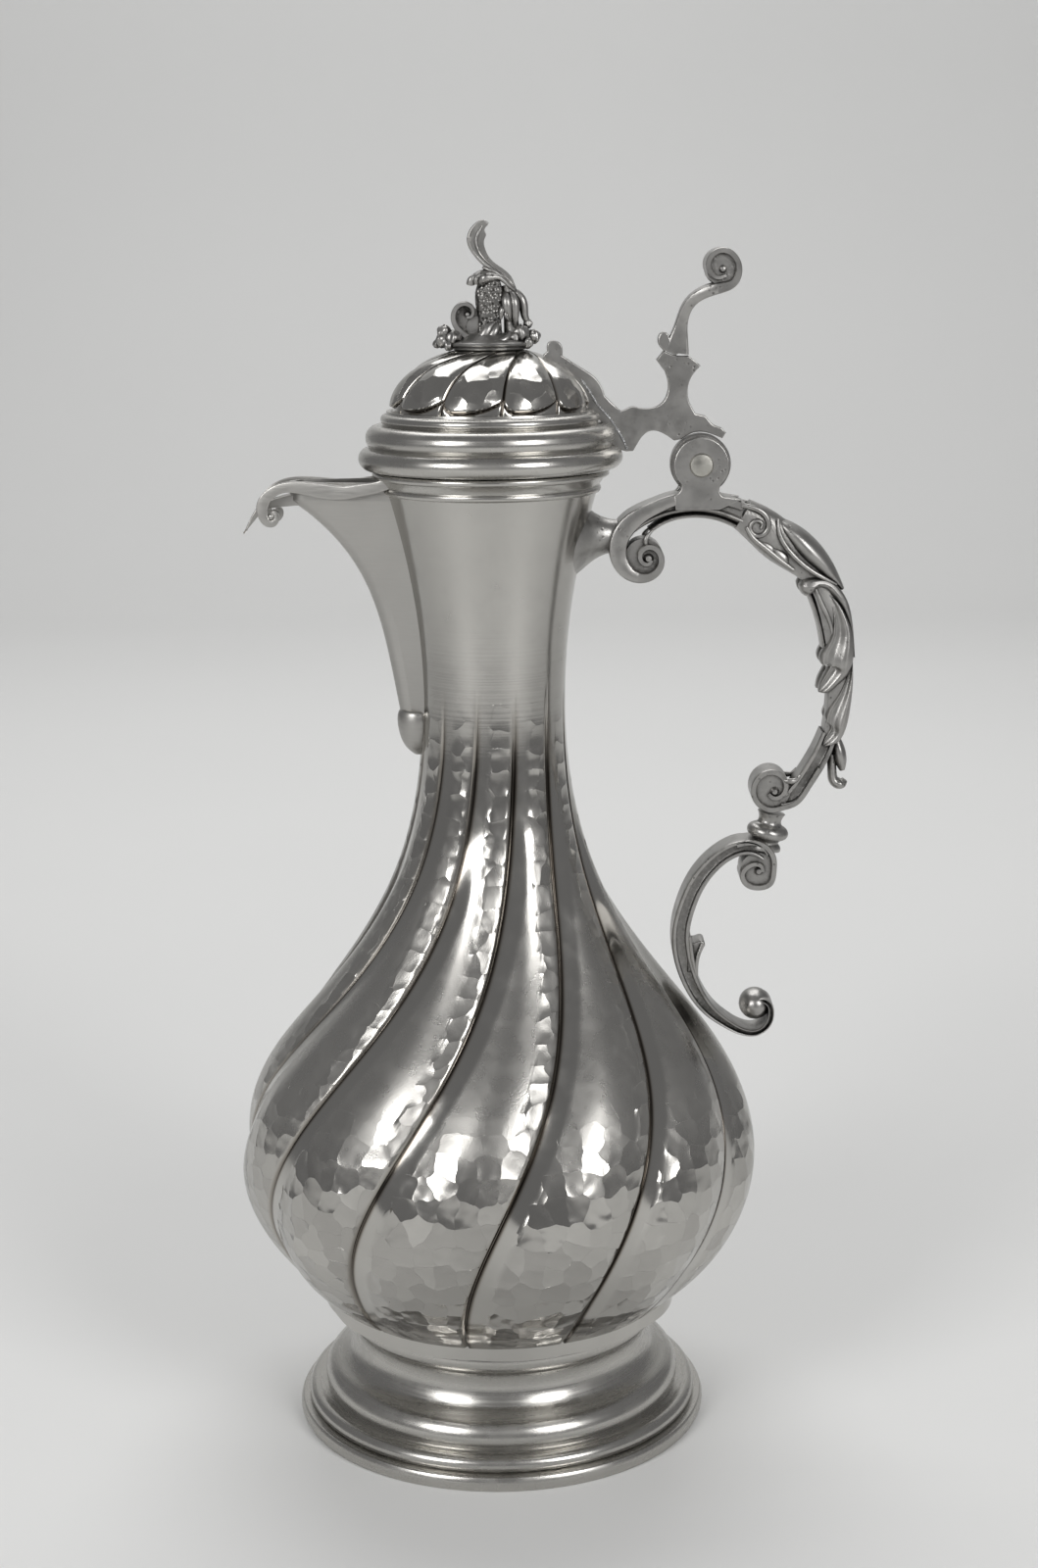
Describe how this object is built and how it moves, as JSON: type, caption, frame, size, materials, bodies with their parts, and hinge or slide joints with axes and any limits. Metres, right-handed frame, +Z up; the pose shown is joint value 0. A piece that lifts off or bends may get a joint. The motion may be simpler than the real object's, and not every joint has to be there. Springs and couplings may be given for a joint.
{
  "type": "wine jug",
  "caption": "Tall footed wine jug with a swirled, hammered belly, slim neck, open beak spout, scrolled handle and a hinged domed lid with thumbpiece and finial.",
  "frame": {"origin": "middle of the flat ring that the jug stands on, on the axis of the body", "axes": "+Z up along the body's axis, +X towards the handle, -X towards the spout, -Y the side that the picture shows"},
  "size_m": [0.1727, 0.1456, 0.3405],
  "materials": {
    "hammered_pewter": "hammered satin",
    "spun_pewter": "turned satin",
    "sheet_pewter": "brushed satin",
    "cast_pewter": "cast, dark in the hollows",
    "hinge_metal": "worn satin"
  },
  "bodies": {
    "jug": {"body_shell": "hammered_pewter", "foot": "spun_pewter", "foot_rim": "spun_pewter", "mouth_collar": "spun_pewter", "spout_shell": "sheet_pewter", "spout_lip_front": "sheet_pewter", "spout_lip_back": "sheet_pewter", "spout_drop": "cast_pewter", "handle_arch": "cast_pewter", "neck_stub": "cast_pewter", "handle_lower_scroll": "cast_pewter", "handle_grip": "cast_pewter", "handle_knop": "cast_pewter", "hinge_pin": "hinge_metal"},
    "lid": {"lid_ring": "spun_pewter", "lid_bezel": "spun_pewter", "lid_dome": "spun_pewter", "lid_strap": "cast_pewter", "lid_knuckle": "cast_pewter", "thumbpiece": "cast_pewter", "finial_base": "cast_pewter", "finial_scroll": "cast_pewter", "finial_plume": "cast_pewter", "finial_screw": "hinge_metal"}
  },
  "joints": [
    {"name": "lid_hinge", "type": "hinge", "parent": "jug", "child": "lid", "pos_m": [0.057, 0, 0.2741], "axis": [0, 1, 0], "range_deg": [0, 95]}
  ]
}
